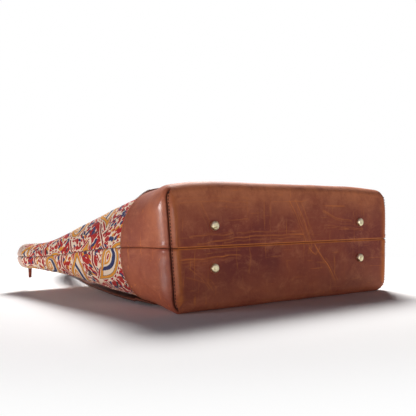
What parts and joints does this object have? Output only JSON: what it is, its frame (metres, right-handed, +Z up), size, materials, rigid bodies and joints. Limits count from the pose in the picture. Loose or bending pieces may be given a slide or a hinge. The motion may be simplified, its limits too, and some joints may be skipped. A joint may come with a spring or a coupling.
{
  "type": "leather tote bag",
  "caption": "Tote bag with a boxed leather base on metal feet, printed cloth sides, strap handles on both faces and a zipped mouth, lying on its front face.",
  "frame": {"origin": "middle of the box's bottom: on the surface that the bag lies on, half way between its feet and the end of its handles", "axes": "+X along the base, +Y from the base towards the mouth and the handles, +Z up from the front face to the back face"},
  "size_m": [0.4446, 0.5106, 0.1399],
  "materials": {
    "leather": "waxed",
    "strap_leather": "waxed",
    "printed_cloth": "matt",
    "lining": "matt",
    "zip_tape": "matt",
    "brass": "antique",
    "board": "matt"
  },
  "bodies": {
    "bag": {"front_leather": "leather", "back_leather": "leather", "front_cloth": "printed_cloth", "back_cloth": "printed_cloth", "lining": "lining", "base_board": "board", "base_feet": "brass", "foot_washers": "brass", "front_handle": "strap_leather", "back_handle": "strap_leather", "front_zip_tape": "zip_tape", "back_zip_tape": "zip_tape", "front_zip_teeth": "brass", "back_zip_teeth": "brass", "zip_stops": "brass"},
    "slider": {"zip_slider": "brass"},
    "puller": {"zip_puller": "brass"},
    "strip": {"pull_strip": "strap_leather"}
  },
  "joints": [
    {"name": "zip_slide", "type": "slide", "parent": "bag", "child": "slider", "axis": [1, 0, 0], "range_m": [0, 0.376], "deforming": ["front_zip_teeth", "back_zip_teeth"]},
    {"name": "puller_swing", "type": "hinge", "parent": "slider", "child": "puller", "pos_m": [-0.1889, 0.0514, 0.046], "axis": [0, 0, -1], "range_deg": [0, 90]},
    {"name": "strip_swing", "type": "hinge", "parent": "puller", "child": "strip", "pos_m": [-0.2034, 0.0514, 0.04355], "axis": [1, 0, 0], "range_deg": [0, 100]}
  ]
}
